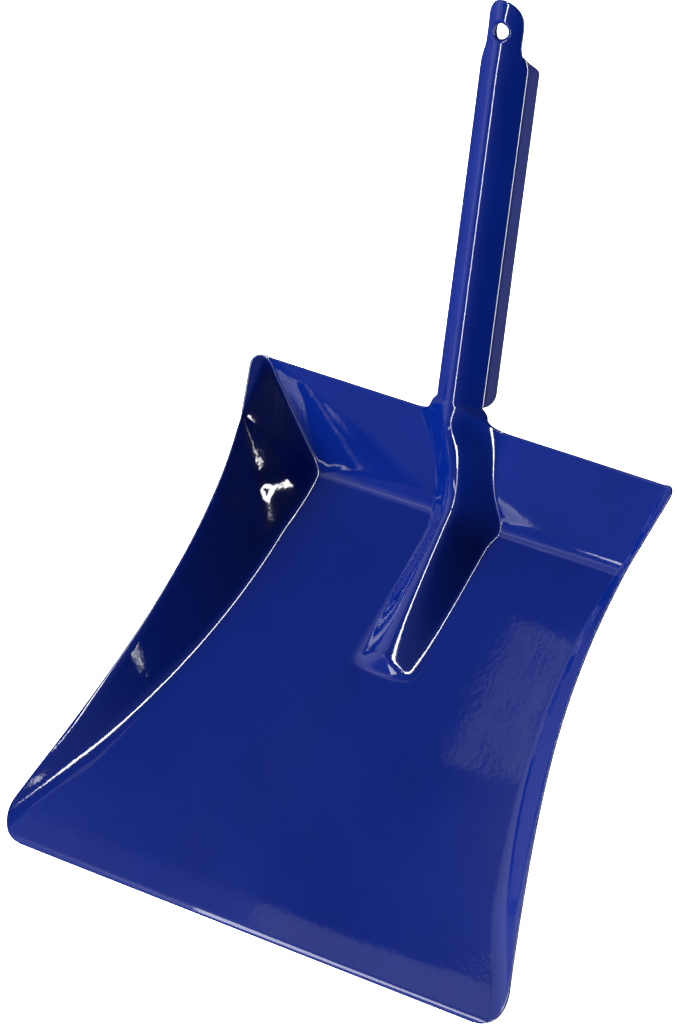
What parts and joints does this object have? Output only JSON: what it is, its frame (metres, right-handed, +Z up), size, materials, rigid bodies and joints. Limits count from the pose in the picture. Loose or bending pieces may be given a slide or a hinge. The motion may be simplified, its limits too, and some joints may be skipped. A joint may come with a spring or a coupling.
{
  "type": "dustpan",
  "caption": "Household dustpan pressed from a single painted steel sheet: flared tray, sloping walls, floor ridge running up into a folded handle with a hanging hole.",
  "frame": {"origin": "under the middle of the part's bounding box, on the surface it stands on", "axes": "+Z up; +Y from the mouth of the pan to the end of the handle; +X to the right for someone looking along +Y"},
  "size_m": [0.2264, 0.3062, 0.1296],
  "materials": {
    "paint": "high gloss"
  },
  "bodies": {
    "root": {"dustpan_pressing": "paint"}
  },
  "joints": []
}
